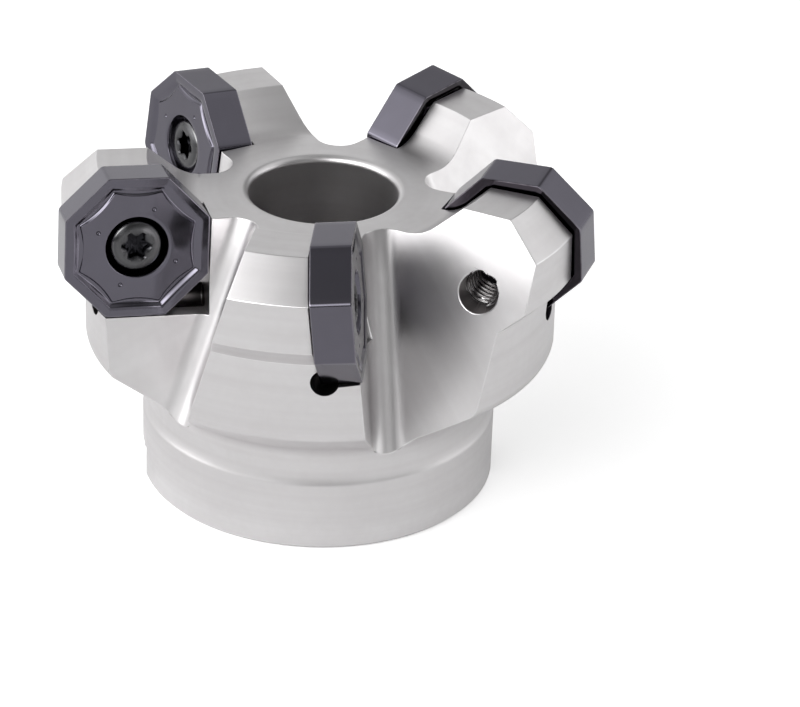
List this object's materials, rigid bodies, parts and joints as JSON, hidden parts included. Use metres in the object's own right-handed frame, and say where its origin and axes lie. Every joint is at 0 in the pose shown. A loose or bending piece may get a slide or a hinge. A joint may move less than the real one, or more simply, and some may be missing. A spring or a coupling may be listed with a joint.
{
  "type": "indexable face mill",
  "caption": "Shell-type face mill: steel body with chip gullets, arbor bore and drive slot, and octagonal coated carbide inserts held by countersunk screws.",
  "frame": {"origin": "on the spindle axis, in the plane of the mounting face", "axes": "+Z along the spindle axis from the mounting face to the cutting end, X along the drive slot, -Y towards insert_1"},
  "size_m": [0.0737, 0.0741, 0.0502],
  "materials": {
    "satin_steel": "satin, fine-turned and milled",
    "coated_carbide": "dark violet-grey hard coating, satin",
    "screw_steel": "bright turned head, dark recess"
  },
  "bodies": {
    "root": {"cutter_body": "satin_steel", "insert_1": "coated_carbide", "insert_2": "coated_carbide", "insert_3": "coated_carbide", "insert_4": "coated_carbide", "insert_5": "coated_carbide", "insert_screw_1": "screw_steel", "insert_screw_2": "screw_steel", "insert_screw_3": "screw_steel", "insert_screw_4": "screw_steel", "insert_screw_5": "screw_steel"}
  },
  "joints": []
}
